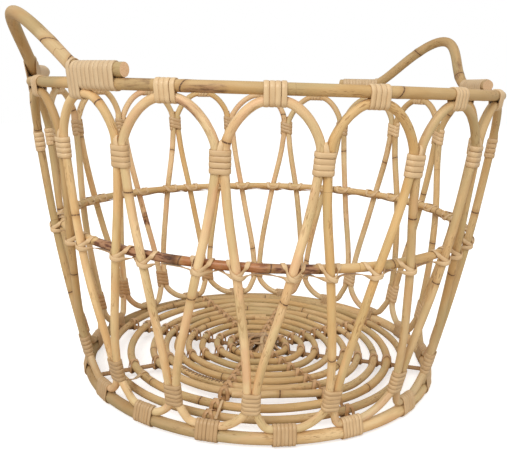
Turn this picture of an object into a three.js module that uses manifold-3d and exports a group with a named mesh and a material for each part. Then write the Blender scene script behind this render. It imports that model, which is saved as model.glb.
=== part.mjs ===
// Open round rattan basket with two raised handles.
// Millimetres, +Z up. The origin is on the floor under the middle, the handles stand at -X and +X.
import * as THREE from 'three';
import * as BufferGeometryUtils from 'three/addons/utils/BufferGeometryUtils.js';
import Module from 'manifold-3d';

// Top hoop and base hoop, sizes of their centre lines and canes
const rimRadius = 250;
const rimHeight = 329;
const rimCane = 9.8;
const baseRadius = 206;
const baseCane = 12.2;

// Wall: bent canes, each an arch on top, a waist near the floor and half a bottom arch to each side
const archCount = 18;
const wallCane = 7.6;
const wallBulge = 5.5; // how far the side swells past a straight cone
const shoulderHeight = 272; // where neighbouring arches are tied to each other
const waistHeight = 50; // where the two legs of one arch are tied
const archSteps = 4;
const flareSteps = 3;
const straightRun = 1.5; // the canes run straight this far past their rim, shoulder and base ties
const flareReach = 8; // pull of the bottom arch towards its level end
const flareDrop = 6; // pull of the bottom arch away from the waist
const waistTwist = -2; // degrees that the waists lie round from the arches above them
const footTwist = -3.7; // and the bottom arches' ends

// Hoop inside the legs at half height
const midHeight = 181;
const midCane = 8.4;

// Wound peel: every tie is some turns of one strip
const peelThickness = 1.2;
const peelWidth = 4.2;
const peelGap = 0.6; // between one turn and the next
const rimTurns = 4;
const shoulderTurns = 4;
const waistTurns = 5;
const baseTurns = 6;
const basePitch = 3.7; // the base ties are wound with a narrower strip
const handleTurns = 11;
const handlePitch = 5; // and the handles' bindings a little more openly
const footFlat = 0.4; // depth of the flat worn under each base tie

// Bottom: cane rings lying on split canes that cross at the centre
const ringCount = 9;
const ringCane = 7.4;
const innerRing = 36;
const ringMargin = 30; // from the last ring to the base hoop
const spokeCount = 4;
const spokeWidth = 7;
const spokeThickness = 3.4;
const spokeHeight = 2.8;
const hubMargin = 1.5; // the crossing stays level this far past the canes that it crosses
const hubClearance = 2; // and is down again this far inside the first ring

// Handles
const handleCane = 12;
const handleRise = 49.5;
const handleLean = 23;
const handleFullness = 0.8;
const leanCurve = 1.4;
const handleBite = 6; // the arch comes down on the rim this far inside its binding
const handleOverhang = 2; // and its cut end stands out this far

// Pieces that lie against each other keep this gap
const seat = 0.3;

const caneSides = 5;
const midCaneSides = 6;
const thickCaneSides = 8;
const tieSteps = 3; // steps in half a turn of a tie
const windingSteps = 4; // and of the handle's binding

// Places worked out from the sizes above
const halfPitch = Math.PI / archCount;
const peelPitch = peelWidth + peelGap;
const footZ = baseCane / 2 + peelThickness - footFlat;
const bottomZ = footZ + baseCane / 2 + wallCane / 2 + seat;
const topZ = rimHeight - rimCane / 2 - wallCane / 2 - seat;
const pairOffset = (wallCane + seat) / 2;
const rimTieWidth = rimTurns * peelPitch;
const shoulderTieWidth = shoulderTurns * peelPitch;
const waistTieWidth = waistTurns * peelPitch;
const baseTieWidth = baseTurns * basePitch;
const archFlat = rimTieWidth / 2 + straightRun; // half of the level stretch under the rim
const waistLowZ = waistHeight - waistTieWidth / 2;
const ringPitch = (baseRadius - ringMargin - innerRing) / (ringCount - 1);
const handleFootZ = rimHeight + rimCane / 2 + handleCane / 2 + seat;
// Along the rim from the handle's middle: its binding starts under the second arch, at that arch's tie
const bindingStart = 2 * halfPitch * rimRadius - rimTieWidth / 2;
const bindingEnd = bindingStart + handleTurns * handlePitch + peelWidth;
const handleSpan = bindingStart + handleBite;
const handleReach = bindingEnd + handleOverhang;
// A cut with this diameter clears a wall cane all round, at the flats of its sides too
const bedCane = wallCane + (2 * seat) / Math.cos(Math.PI / caneSides);

const colours = {
  rim: 0xc4a06b,
  baseRim: 0xd3b787,
  wall: 0xdcbb8b,
  mid: 0xa6704a,
  ring: 0xccab7e,
  spoke: 0x99704a,
  peel: 0xe0c49a,
  handle: 0xd2ae7c,
  binding: 0xcbae84,
};

function caneMaterial(colour, roughness = 0.55) {
  return new THREE.MeshStandardMaterial({ color: colour, roughness, metalness: 0 });
}

const wasm = await Module();
wasm.setup();

function toSolid(geometry) {
  const bare = geometry.clone();
  bare.deleteAttribute('normal');
  bare.deleteAttribute('uv');
  const merged = BufferGeometryUtils.mergeVertices(bare, 1e-4);
  const mesh = new wasm.Mesh({
    numProp: 3,
    vertProperties: Float32Array.from(merged.attributes.position.array),
    triVerts: Uint32Array.from(merged.index.array),
  });
  return new wasm.Manifold(mesh);
}

function toGeometry(solid) {
  const mesh = solid.getMesh();
  const geometry = new THREE.BufferGeometry();
  geometry.setAttribute('position', new THREE.BufferAttribute(Float32Array.from(mesh.vertProperties), 3));
  geometry.setIndex(new THREE.BufferAttribute(Uint32Array.from(mesh.triVerts), 1));
  geometry.computeVertexNormals();
  return geometry;
}

function turned(geometry, angle) {
  return geometry.clone().rotateZ(angle);
}

// A curve whose sweep steps fall on its own points, which lie closer where the cane bends
class CaneCurve extends THREE.CatmullRomCurve3 {
  getUtoTmapping(u) {
    return u;
  }
}

function roundSection(radius, sides) {
  const shape = new THREE.Shape();
  for (let i = 0; i < sides; i++) {
    const angle = (2 * Math.PI * i) / sides;
    const x = radius * Math.cos(angle);
    const y = radius * Math.sin(angle);
    if (i === 0) shape.moveTo(x, y);
    else shape.lineTo(x, y);
  }
  shape.closePath();
  return shape;
}

function cane(points, diameter, sides) {
  const path = new CaneCurve(points, false, 'centripetal');
  const options = { extrudePath: path, steps: points.length - 1 };
  return new THREE.ExtrudeGeometry(roundSection(diameter / 2, sides), options);
}

function hoop(radius, diameter, z, sides, steps) {
  return new THREE.TorusGeometry(radius, diameter / 2, sides, steps).translate(0, 0, z);
}

// Radius of the wall's centre line at a height: a cone from base to rim, swollen a little
function wallRadius(z) {
  const u = (z - bottomZ) / (topZ - bottomZ);
  return baseRadius + (rimRadius - baseRadius) * u + 4 * wallBulge * u * (1 - u);
}

// How far round the wall has turned at a height: nothing at the rim, most at the feet
function wallTwist(z) {
  const low = THREE.MathUtils.clamp((waistLowZ - z) / (waistLowZ - bottomZ), 0, 1);
  const high = THREE.MathUtils.clamp((topZ - z) / (topZ - waistLowZ), 0, 1);
  return THREE.MathUtils.degToRad(waistTwist * high + (footTwist - waistTwist) * low * low);
}

function onWall(offset, z, angle = 0) {
  const radius = wallRadius(z);
  const turn = angle + wallTwist(z) + offset / radius;
  return new THREE.Vector3(radius * Math.cos(turn), radius * Math.sin(turn), z);
}

// Half of one wall cane as [distance from the arch's middle, height], from the apex to the butting end
function wallHalf(endGap) {
  const shoulderTop = shoulderHeight + shoulderTieWidth / 2 + straightRun;
  const shoulderLow = shoulderHeight - shoulderTieWidth / 2 - straightRun;
  const waistTop = waistHeight + waistTieWidth / 2 - straightRun;
  const waistLow = waistLowZ + straightRun;
  const legOffset = (z) => halfPitch * wallRadius(z) - pairOffset;
  const archWidth = legOffset(shoulderTop) - archFlat;
  const half = [];
  for (let i = 0; i <= archSteps; i++) {
    const t = (Math.PI / 2) * (i / archSteps);
    half.push([archFlat + archWidth * Math.sin(t), shoulderTop + (topZ - shoulderTop) * Math.cos(t)]);
  }
  half.push([legOffset(shoulderLow), shoulderLow]);
  half.push([(legOffset(shoulderLow) + pairOffset) / 2, (shoulderLow + waistTop) / 2]);
  half.push([pairOffset, waistTop]);
  half.push([pairOffset, waistLow]);
  const end = halfPitch * baseRadius;
  const level = end - baseTieWidth / 2 - straightRun;
  const flare = new THREE.CubicBezierCurve(
    new THREE.Vector2(pairOffset, waistLow),
    new THREE.Vector2(pairOffset + 1, waistLow - flareDrop),
    new THREE.Vector2(level - flareReach, bottomZ),
    new THREE.Vector2(level, bottomZ),
  );
  for (const p of flare.getPoints(flareSteps).slice(1)) half.push([p.x, p.y]);
  half.push([end - endGap, bottomZ]);
  return half;
}

function wallCaneSolid(diameter, endGap) {
  const half = wallHalf(endGap);
  const left = half.map(([offset, z]) => onWall(-offset, z)).reverse();
  const right = half.map(([offset, z]) => onWall(offset, z));
  return toSolid(cane([...left, ...right], diameter, caneSides));
}

// A polygon drawn round a circle has its points out by this share
function roundOut(steps) {
  return 1 / Math.cos(Math.PI / steps / 2);
}

// Outline of a strip wound round two canes: half a circle at each, joined by straight sides
function wrapShape(upper, upperRadius, lower, lowerRadius) {
  const shape = new THREE.Shape();
  const share = roundOut(tieSteps);
  for (let i = 0; i <= tieSteps; i++) {
    const angle = (Math.PI * i) / tieSteps;
    const x = share * upperRadius * Math.cos(angle);
    const y = upper + share * upperRadius * Math.sin(angle);
    if (i === 0) shape.moveTo(x, y);
    else shape.lineTo(x, y);
  }
  for (let i = 0; i <= tieSteps; i++) {
    const angle = Math.PI + (Math.PI * i) / tieSteps;
    shape.lineTo(share * lowerRadius * Math.cos(angle), lower + share * lowerRadius * Math.sin(angle));
  }
  shape.closePath();
  return shape;
}

function block(shape, width) {
  const options = { depth: width, bevelEnabled: false, curveSegments: 1 };
  return new THREE.ExtrudeGeometry(shape, options).translate(0, 0, -width / 2);
}

// Stands a block at a radius on the X axis: its outline's Y up, its depth along the hoop
function acrossHoop(geometry, radius) {
  const frame = new THREE.Matrix4().makeBasis(
    new THREE.Vector3(1, 0, 0),
    new THREE.Vector3(0, 0, 1),
    new THREE.Vector3(0, -1, 0),
  );
  return geometry.applyMatrix4(frame.setPosition(radius, 0, 0));
}

// Lays a block on the wall at a height: its outline's Y round the basket, its depth up the slope
function acrossWall(geometry, z, angle = 0) {
  const low = onWall(0, z - peelPitch, angle);
  const up = onWall(0, z + peelPitch, angle).sub(low).normalize();
  const centre = onWall(0, z, angle);
  const out = new THREE.Vector3(-centre.y, centre.x, 0).cross(up).normalize();
  const round = new THREE.Vector3().crossVectors(up, out);
  const frame = new THREE.Matrix4().makeBasis(out, round, up);
  return geometry.applyMatrix4(frame.setPosition(centre));
}

// Sweeps an outline along a line of points. Each point says which way the outline's first axis faces.
function sweep(line, outline) {
  const positions = [];
  const index = [];
  const count = outline.length;
  line.forEach(({ point, out }, i) => {
    const before = line[Math.max(i - 1, 0)].point;
    const after = line[Math.min(i + 1, line.length - 1)].point;
    const ahead = new THREE.Vector3().subVectors(after, before).normalize();
    const across = new THREE.Vector3().crossVectors(ahead, out).normalize();
    for (const [a, b] of outline) {
      const corner = point.clone().addScaledVector(out, a).addScaledVector(across, b);
      positions.push(corner.x, corner.y, corner.z);
    }
    if (i === 0) return;
    for (let k = 0; k < count; k++) {
      const a = count * (i - 1) + k;
      const b = count * (i - 1) + ((k + 1) % count);
      index.push(a, b, b + count, a, b + count, a + count);
    }
  });
  const last = count * (line.length - 1);
  for (let k = 1; k < count - 1; k++) {
    index.push(0, k + 1, k);
    index.push(last, last + k, last + k + 1);
  }
  const geometry = new THREE.BufferGeometry();
  geometry.setAttribute('position', new THREE.Float32BufferAttribute(positions, 3));
  geometry.setIndex(index);
  geometry.computeVertexNormals();
  return geometry;
}

function addMesh(group, name, geometry, colour, angle = 0) {
  const mesh = new THREE.Mesh(geometry, caneMaterial(colour));
  mesh.name = name;
  mesh.rotation.z = angle;
  group.add(mesh);
}

const basket = new THREE.Group();
const wrapRadius = wallCane / 2 + peelThickness;

// Wall canes, each with the tie at its own waist
const waistShape = wrapShape(pairOffset, wrapRadius, -pairOffset, wrapRadius);
const waistTie = toSolid(acrossWall(block(waistShape, waistTieWidth), waistHeight));
const wallGeometry = toGeometry(wallCaneSolid(wallCane, seat / 2).add(waistTie));
for (let i = 0; i < archCount; i++) {
  const name = `wall_cane_${String(i + 1).padStart(2, '0')}`;
  addMesh(basket, name, wallGeometry, colours.wall, 2 * halfPitch * i);
}

// Ties round the touching legs of neighbouring arches
const legRadius = wallCane / 2 + seat;
const shoulderShape = wrapShape(pairOffset, wrapRadius + seat, -pairOffset, wrapRadius + seat);
shoulderShape.holes.push(wrapShape(pairOffset, legRadius, -pairOffset, legRadius));
const shoulderGeometry = acrossWall(block(shoulderShape, shoulderTieWidth), shoulderHeight);
for (let i = 0; i < archCount; i++) {
  const name = `shoulder_tie_${String(i + 1).padStart(2, '0')}`;
  addMesh(basket, name, shoulderGeometry, colours.peel, halfPitch * (2 * i + 1));
}

// Top rim with the plain rim ties. The arches beside each handle are held by its bindings.
const archBed = wallCaneSolid(bedCane, seat / 2);
const rimShape = wrapShape(rimHeight, rimCane / 2 + peelThickness, topZ, wrapRadius + seat);
const rimTie = toGeometry(toSolid(acrossHoop(block(rimShape, rimTieWidth), rimRadius)).subtract(archBed));
const boundArches = [1, archCount / 2 - 1, archCount / 2 + 1, archCount - 1];
let rim = toSolid(hoop(rimRadius, rimCane, rimHeight, thickCaneSides, 3 * archCount));
for (let i = 0; i < archCount; i++) {
  if (boundArches.includes(i)) continue;
  rim = rim.add(toSolid(turned(rimTie, 2 * halfPitch * i)));
}
addMesh(basket, 'rim', toGeometry(rim), colours.rim);

// Base rim with the ties that hold the bottom arches. Each tie is flat where it meets the floor.
// The bed for the butting ends is straight, and wider by the bend of the hoop inside the tie
const bedSag = (baseTieWidth / 2 + straightRun) ** 2 / (2 * baseRadius);
const bedEnds = [-baseTieWidth, baseTieWidth];
const bedLine = bedEnds.map((y) => new THREE.Vector3(baseRadius - bedSag / 2, y, bottomZ));
const footBed = toSolid(cane(bedLine, bedCane + bedSag, caneSides));
const floorBlock = new THREE.BoxGeometry(baseCane * 4, baseTieWidth * 2, baseCane);
const floorCut = toSolid(floorBlock.translate(baseRadius, 0, -baseCane / 2));
const baseShape = wrapShape(bottomZ, wrapRadius + seat, footZ, baseCane / 2 + peelThickness);
const baseBlock = toSolid(acrossHoop(block(baseShape, baseTieWidth), baseRadius));
const baseTie = toGeometry(baseBlock.subtract(footBed).subtract(floorCut));
let baseRim = toSolid(hoop(baseRadius, baseCane, footZ, thickCaneSides, 2 * archCount));
for (let i = 0; i < archCount; i++) {
  baseRim = baseRim.add(toSolid(turned(baseTie, halfPitch * (2 * i + 1))));
}
addMesh(basket, 'base_rim', toGeometry(baseRim), colours.baseRim, wallTwist(bottomZ));

// Hoop that the legs lean on from outside
const midRadius = wallRadius(midHeight) - wallCane / 2 - midCane / 2 - seat;
const midHoop = hoop(midRadius, midCane, midHeight, midCaneSides, 2 * archCount);
addMesh(basket, 'mid_hoop', midHoop, colours.mid, halfPitch / 2 + wallTwist(midHeight));

// Split canes under the rings: flat side down, each passing over the last at the centre
const spokeOutline = [
  [-spokeThickness / 2, -spokeWidth / 2],
  [0, -spokeWidth / 2],
  [spokeThickness / 2, -spokeWidth / 4],
  [spokeThickness / 2, spokeWidth / 4],
  [0, spokeWidth / 2],
  [-spokeThickness / 2, spokeWidth / 2],
];
const spokeReach = baseRadius - roundOut(tieSteps) * (baseCane / 2 + peelThickness) - seat;
const spokeZ = spokeHeight + spokeThickness / 2;
const crossing = Math.PI / spokeCount;
const hubFlat = (spokeWidth / 2) * ((1 + Math.cos(crossing)) / Math.sin(crossing)) + hubMargin;
const hubEnd = innerRing - ringCane / 2 - hubClearance;
for (let i = 0; i < spokeCount; i++) {
  const lift = i * (spokeThickness + seat);
  const line = [
    [-spokeReach, 0],
    [-hubEnd, 0],
    [-hubFlat, lift],
    [hubFlat, lift],
    [hubEnd, 0],
    [spokeReach, 0],
  ];
  const out = new THREE.Vector3(0, 0, 1);
  const points = line.map(([x, up]) => ({ point: new THREE.Vector3(x, 0, spokeZ + up), out }));
  const geometry = sweep(points, spokeOutline);
  addMesh(basket, `spoke_${i + 1}`, geometry, colours.spoke, crossing * i);
}

// Bottom rings
const ringZ = spokeHeight + spokeThickness + seat + ringCane / 2;
const ringSag = 1.8; // how far a straight step may cut inside the ring
for (let i = 0; i < ringCount; i++) {
  const radius = innerRing + ringPitch * i;
  const steps = Math.ceil(Math.PI / Math.acos(1 - ringSag / radius));
  addMesh(basket, `base_ring_${i + 1}`, hoop(radius, ringCane, ringZ, caneSides, steps), colours.ring);
}

// Handle: along the rim, level at its feet, risen and leaning out between them
function handleBell(along) {
  const t = Math.min(Math.abs(along) / handleSpan, 1);
  return Math.pow(0.5 * (1 + Math.cos(Math.PI * t)), handleFullness);
}

function handlePoint(along) {
  const bell = handleBell(along);
  const radius = rimRadius + handleLean * Math.pow(bell, leanCurve);
  const turn = along / rimRadius;
  return new THREE.Vector3(radius * Math.cos(turn), radius * Math.sin(turn), handleFootZ + handleRise * bell);
}

const handlePoints = [];
const archHalfSteps = 9;
const footSteps = 3;
for (let i = -archHalfSteps - footSteps; i <= archHalfSteps + footSteps; i++) {
  const onFoot = Math.max(Math.abs(i) - archHalfSteps, 0) / footSteps;
  const onArch = Math.min(Math.abs(i), archHalfSteps) / archHalfSteps;
  const along = handleSpan * onArch + (handleReach - handleSpan) * onFoot;
  handlePoints.push(handlePoint(Math.sign(i) * along));
}
const handleGeometry = cane(handlePoints, handleCane, thickCaneSides);
addMesh(basket, 'handle_1', handleGeometry, colours.handle);
addMesh(basket, 'handle_2', handleGeometry, colours.handle, Math.PI);

// Binding: one flat strip wound round the handle's foot and the rim, and at first round the arch top too
const archAngle = 2 * halfPitch;
const archLine = wallHalf(0);

// Highest and lowest point of an arch's cane at a distance from its apex
function archAt(fromApex) {
  const distance = Math.abs(fromApex);
  let i = 0;
  while (i < archSteps - 1 && archLine[i + 1][0] < distance) i++;
  const [x0, z0] = archLine[i];
  const [x1, z1] = archLine[i + 1];
  const slope = (z0 - z1) / (x1 - x0);
  const z = z0 - slope * Math.max(distance - x0, 0);
  const half = (wallCane / 2) * Math.hypot(1, slope);
  return { top: z + half, bottom: z - half };
}

// Distance from the apex where the strip fits between the arch and the rim
let clearOfArch = archFlat;
while (archAt(clearOfArch).top > rimHeight - rimCane / 2 - peelThickness - 2 * seat) clearOfArch += 0.5;

// The strip's middle line, with the direction that it faces at each point
function bindingLine() {
  const perTurn = 2 * (windingSteps + 1);
  const start = bindingStart + peelWidth / 2;
  const line = [];
  for (let i = 0; i <= handleTurns * perTurn; i++) {
    const inTurn = i % perTurn;
    const upper = inTurn <= windingSteps;
    const step = upper ? inTurn : inTurn - windingSteps - 1;
    const angle = (Math.PI * step) / windingSteps + (upper ? 0 : Math.PI);
    const along = start + (handlePitch * i) / perTurn;
    const fromApex = along - archAngle * rimRadius;
    const wentUnder = start + handlePitch * (Math.floor(i / perTurn) + 0.5) - archAngle * rimRadius;
    const onArch = wentUnder - peelWidth / 2 < clearOfArch; // the whole turn goes one way
    const thickness = upper ? handleCane : rimCane;
    const reach = roundOut(windingSteps) * (thickness / 2 + seat) + peelThickness / 2;
    const centre = handlePoint(along - peelWidth / 2);
    centre.set(Math.hypot(centre.x, centre.y), 0, centre.z);
    if (!upper) {
      const low = onArch ? archAt(Math.abs(fromApex) + peelWidth / 2).bottom : rimHeight - rimCane / 2;
      centre.set(rimRadius, 0, low - seat - peelThickness / 2 + reach);
    }
    const out = new THREE.Vector3(Math.cos(angle), 0, Math.sin(angle));
    const point = centre.addScaledVector(out, reach);
    const turn = along / rimRadius;
    const axis = new THREE.Vector3(0, 0, 1);
    line.push({ point: point.applyAxisAngle(axis, turn), out: out.applyAxisAngle(axis, turn) });
  }
  return line;
}

const winding = bindingLine();
const stripOutline = [
  [-peelThickness / 2, -peelWidth / 2],
  [peelThickness / 2, -peelWidth / 2],
  [peelThickness / 2, peelWidth / 2],
  [-peelThickness / 2, peelWidth / 2],
];
const bindingGeometry = sweep(winding, stripOutline);
// The other foot's binding is the same strip wound the other way, seen in a mirror
const mirrored = bindingGeometry.clone().scale(1, -1, 1);
mirrored.setIndex(Array.from(mirrored.index.array).reverse());
mirrored.computeVertexNormals();
addMesh(basket, 'handle_binding_1', bindingGeometry, colours.binding);
addMesh(basket, 'handle_binding_2', mirrored, colours.binding);
addMesh(basket, 'handle_binding_3', bindingGeometry, colours.binding, Math.PI);
addMesh(basket, 'handle_binding_4', mirrored, colours.binding, Math.PI);

// Least gap between one turn of the strip and the next
let leastGap = Infinity;
const turnSteps = 2 * (windingSteps + 1);
for (let i = 0; i + turnSteps < winding.length; i++) {
  for (let k = turnSteps - 1; k <= turnSteps + 1 && i + k < winding.length; k++) {
    leastGap = Math.min(leastGap, winding[i].point.distanceTo(winding[i + k].point) - peelWidth);
  }
}
console.log(`binding: least gap between turns ${leastGap.toFixed(2)} mm`);

export default basket;
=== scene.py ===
# Open rattan basket with two raised handles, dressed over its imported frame. Metres, +Z up.
import random
from math import atan2, cos, degrees, exp, hypot, pi, radians, sin

import bpy
from mathutils import Matrix, Vector, noise


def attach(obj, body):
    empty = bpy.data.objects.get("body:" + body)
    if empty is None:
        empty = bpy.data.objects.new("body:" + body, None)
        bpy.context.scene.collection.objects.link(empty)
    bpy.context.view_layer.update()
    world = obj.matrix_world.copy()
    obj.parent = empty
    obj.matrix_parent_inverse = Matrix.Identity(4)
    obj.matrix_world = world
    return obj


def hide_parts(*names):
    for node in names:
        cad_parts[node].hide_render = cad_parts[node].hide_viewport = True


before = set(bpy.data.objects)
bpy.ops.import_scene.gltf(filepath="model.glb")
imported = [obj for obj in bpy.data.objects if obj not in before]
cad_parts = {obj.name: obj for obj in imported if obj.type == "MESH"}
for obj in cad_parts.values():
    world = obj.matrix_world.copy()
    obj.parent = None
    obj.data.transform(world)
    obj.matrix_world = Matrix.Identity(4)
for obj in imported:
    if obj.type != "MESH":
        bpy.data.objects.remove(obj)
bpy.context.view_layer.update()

up = Vector((0, 0, 1))

# Sizes of the real basket, the same as in the solids
basket = {
    "archCount": 18,
    "rimRadius": 0.250, "rimHeight": 0.329, "rimCane": 0.0098,
    "baseRadius": 0.206, "baseCane": 0.0122,
    "wallCane": 0.0076, "wallBulge": 0.0055,
    "shoulderHeight": 0.272, "waistHeight": 0.050,
    "archFlat": 0.0045,  # half of the level stretch at the very top of an arch
    "archWide": 1.12, "archFull": 1.445,  # how far the top of an arch is from a plain half circle
    "flareStart": 0.001, "flareReach": 0.008, "flareDrop": 0.006,
    "tieRun": 0.0015,  # how far the legs run on past a tie before they part
    "waistTwist": -2.0, "footTwist": -3.7,  # degrees round from the arches
    "midHeight": 0.181, "midCane": 0.0084,
    "seat": 0.0003, "footFlat": 0.0004, "underTie": 0.0012,  # the ties that the basket stands on
}
peel = {
    "width": 0.00482, "thickness": 0.0011, "pitch": 0.0048,
    "rimWidth": 0.00445, "rimPitch": 0.0044, "baseWidth": 0.00375, "basePitch": 0.0037,
    "handleWidth": 0.0051, "handlePitch": 0.005,
    "clear": 0.0001,  # how far a strip stands off what it is wound on
    "lean": 0.05, "slack": 0.00025, "drift": 0.00018,  # how unevenly a tie is wound, at most
    "arcSteps": 10,  # facets of half a turn
}
turns = {"rim": 4, "shoulder": 4, "waist": 5, "base": 6, "handle": 11}

# How the hand-bent canes stray from true, in mm. The first group: level, cosine, sine, cosine and sine of twice the
# angle. The second group: one value for each arch, or for the tie on its right. The last: where the rises fade, in m.
handBent = {
    "rimReach": (0, -0.8, -2.1, -0.8, -0.6), "baseReach": (0, 2.2, 2, -0.5, 1.1),
    "rimRise": (-0.4, -4.5, -2.8, 0, 0), "baseRise": (1.7, -0.9, -0.8, 0.8, -0.1),
    "midRise": (2.2, -2.2, -0.9, 2.3, 0.6),
    "apex": (7, 2.4, -0.2, -4.7, -0.3, -0.2, -3.9, -2.5, -2, 7, 7, 5.6, 3, -3, -5.8, -7, 2.3, 3.7),
    "shoulder": (4.2, 2.4, 2.7, 3.7, 3, 7.2, 8, -1.6, 2.2, 8, 1.8, 6, 2.2, -0.3, 2.7, -8, 7.1, 7.8),
    "shoulderRise": (5, 1.3, -1.5, 4.7, 3, 2.5, 3, -2.9, -0.6, 1.7, 0.9, 1.6, 2, -0.7, 2.5, 5, -2.3, 1.6),
    "waist": (1.9, 8.1, 9, 5.9, 8.8, 9, 9, -5.3, 2.1, -9, -4.2, -4.6, -2, 1.1, 7.1, 9, -3.4, 4.9),
    "waistRise": (2.7, 4.5, 2.7, -0.1, -2, -0.1, 2.6, 0, -0.3, 1, 2.5, -3.1, -1.2, -1.3, 0.4, -5, 0.5, 3),
    "foot": (8, 8, 7.2, 6, 7, 8, 5.8, 1.4, 0.1, 1.8, -0.3, -1.4, 0.4, -2.3, 8, -1.2, 3.9, 8),
    "bowLeft": (-1.4, 1.8, 3.5, 2.2, 1.9, 1.5, 0.6, 5, -0.5, -5, -5, 1, 2.3, 1.1, 0.8, -3.9, -5, -4.6),
    "bowRight": (-3.6, 2.4, -2.8, 0.2, -1.4, -0.6, 1.4, 1.9, 2.9, 4.7, 1, 0.8, 1.2, -2.4, 2.9, 1, -0.4, -5),
    "highFrom": 0.200, "highOver": 0.120, "lowTo": 0.110, "lowOver": 0.090,
}

rimRadius, rimHeight, baseRadius = (basket[key] for key in ("rimRadius", "rimHeight", "baseRadius"))
wallCane, seat = basket["wallCane"], basket["seat"]
arches = range(basket["archCount"])
fullTurn = 2 * pi
halfPitch = pi / basket["archCount"]
footZ = basket["baseCane"] / 2 + basket["underTie"] - basket["footFlat"]
bottomZ = footZ + basket["baseCane"] / 2 + wallCane / 2 + seat
topZ = rimHeight - basket["rimCane"] / 2 - wallCane / 2 - seat
pairOffset = (wallCane + seat) / 2
waistLowZ = basket["waistHeight"] - turns["waist"] * peel["pitch"] / 2


def clamped(value, low=0.0, high=1.0):
    return min(max(value, low), high)


def eased(share):
    return share * share * (3 - 2 * share)


def outAt(turn, radius=1, z=0):  # the way out at an angle, or a point that far out and up
    return Vector((radius * cos(turn), radius * sin(turn), z))


def within(value, start, end, fade):
    return clamped(min(value - start, end - value) / fade + 0.5)


def turnOf(point):
    return atan2(point.y, point.x)


def turnFrom(turn, other):  # the short way round
    return (turn - other + pi) % fullTurn - pi


def bent(key, i):
    return handBent[key][i] / 1000


def strayed(key, turn):
    level, cosine, sine, cosineTwice, sineTwice = handBent[key]
    once = level + cosine * cos(turn) + sine * sin(turn)
    return (once + cosineTwice * cos(2 * turn) + sineTwice * sin(2 * turn)) / 1000


# The wall that the canes lie in: a cone swollen a little, not quite round, which turns towards the feet

def wallRadius(z):
    u = (z - bottomZ) / (topZ - bottomZ)
    return baseRadius + (rimRadius - baseRadius) * u + 4 * basket["wallBulge"] * u * (1 - u)


def outOfRound(turn, z):
    u = clamped((z - bottomZ) / (topZ - bottomZ))
    return strayed("rimReach", turn) * u + strayed("baseReach", turn) * (1 - u)


def outOfLevel(turn, z):
    high = clamped((z - handBent["highFrom"]) / handBent["highOver"])
    low = clamped((handBent["lowTo"] - z) / handBent["lowOver"])
    return strayed("rimRise", turn) * high + strayed("baseRise", turn) * low


def wallTwist(z):
    low = clamped((waistLowZ - z) / (waistLowZ - bottomZ))
    high = clamped((topZ - z) / (topZ - waistLowZ))
    return radians(basket["waistTwist"] * high + (basket["footTwist"] - basket["waistTwist"]) * low * low)


def onHoop(radius, z, turn):  # a point of the rim or the base rim
    return outAt(turn, radius + outOfRound(turn, z), z + outOfLevel(turn, z))


def onWall(offset, z, angle):
    return onHoop(wallRadius(z), z, angle + wallTwist(z) + offset / wallRadius(z))


# The knots of half a wall cane: over the arch, through the leg and the waist, and out to its foot
lastOfArch, inLeg, lastOfWaist, lastOfFoot = 6, 8, 10, 15


def wallHalf():
    run = basket["tieRun"]
    shoulderTop = basket["shoulderHeight"] + turns["shoulder"] * peel["pitch"] / 2 + run
    shoulderLow = 2 * basket["shoulderHeight"] - shoulderTop
    waistTop = 2 * basket["waistHeight"] - waistLowZ - run
    waistLow = waistLowZ + run

    def legOffset(z):
        return halfPitch * wallRadius(z) - pairOffset

    half = []
    archWidth = legOffset(shoulderTop) - basket["archFlat"]
    for i in range(lastOfArch + 1):
        t = pi / 2 * i / lastOfArch
        across = basket["archFlat"] + archWidth * sin(t) ** basket["archWide"]
        half.append((across, shoulderTop + (topZ - shoulderTop) * max(cos(t), 0) ** basket["archFull"]))
    half.append((legOffset(shoulderLow), shoulderLow))
    half.append(((legOffset(shoulderLow) + pairOffset) / 2, (shoulderLow + waistTop) / 2))
    half += [(pairOffset, waistTop), (pairOffset, waistLow)]
    end = halfPitch * baseRadius
    level = end - turns["base"] * peel["basePitch"] / 2 - run
    hooks = [half[-1], (pairOffset + basket["flareStart"], waistLow - basket["flareDrop"])]
    hooks += [(level - basket["flareReach"], bottomZ), (level, bottomZ)]
    for t in (0.25, 0.5, 0.75, 1.0):
        weights = [(1 - t) ** 3, 3 * t * (1 - t) ** 2, 3 * t * t * (1 - t), t ** 3]
        half.append(tuple(sum(w * h[k] for w, h in zip(weights, hooks)) for k in (0, 1)))
    half.append((end - seat / 2, bottomZ))
    return half


bowed = {-1: "bowLeft", 1: "bowRight"}


# One arch with both its legs, from the left foot over the top to the right foot
def archKnots(i):
    legs = []
    for side in (-1, 1):
        tied = i if side > 0 else i - 1
        shoulder, shoulderRise, foot = (bent(key, tied) for key in ("shoulder", "shoulderRise", "foot"))
        apex, waist, waistRise, bow = (bent(key, i) for key in ("apex", "waist", "waistRise", bowed[side]))
        leg = []
        for n, (offset, z) in enumerate(half):
            if n <= lastOfArch:
                shift, rise = apex * (1 - n / lastOfArch) + shoulder * n / lastOfArch, shoulderRise * n / lastOfArch
            elif n < inLeg:
                shift, rise = shoulder, shoulderRise
            elif n == inLeg:
                shift, rise = (shoulder + waist) / 2 + bow, 0.0
            elif n <= lastOfWaist:
                shift, rise = waist, waistRise
            else:
                t = (n - lastOfWaist) / (lastOfFoot - lastOfWaist)
                shift, rise = waist * (1 - t) + foot * t, waistRise * (1 - t)
            leg.append(onWall(side * offset + shift, z + rise, 2 * halfPitch * i))
        legs.append(leg)
    return legs[0][::-1] + legs[1]


# Colours as sRGB hex, turned to linear here

def colour(hexValue):
    parts = [int(hexValue[i:i + 2], 16) / 255 for i in (0, 2, 4)]
    return [p / 12.92 if p <= 0.04045 else ((p + 0.055) / 1.055) ** 2.4 for p in parts] + [1.0]


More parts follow.
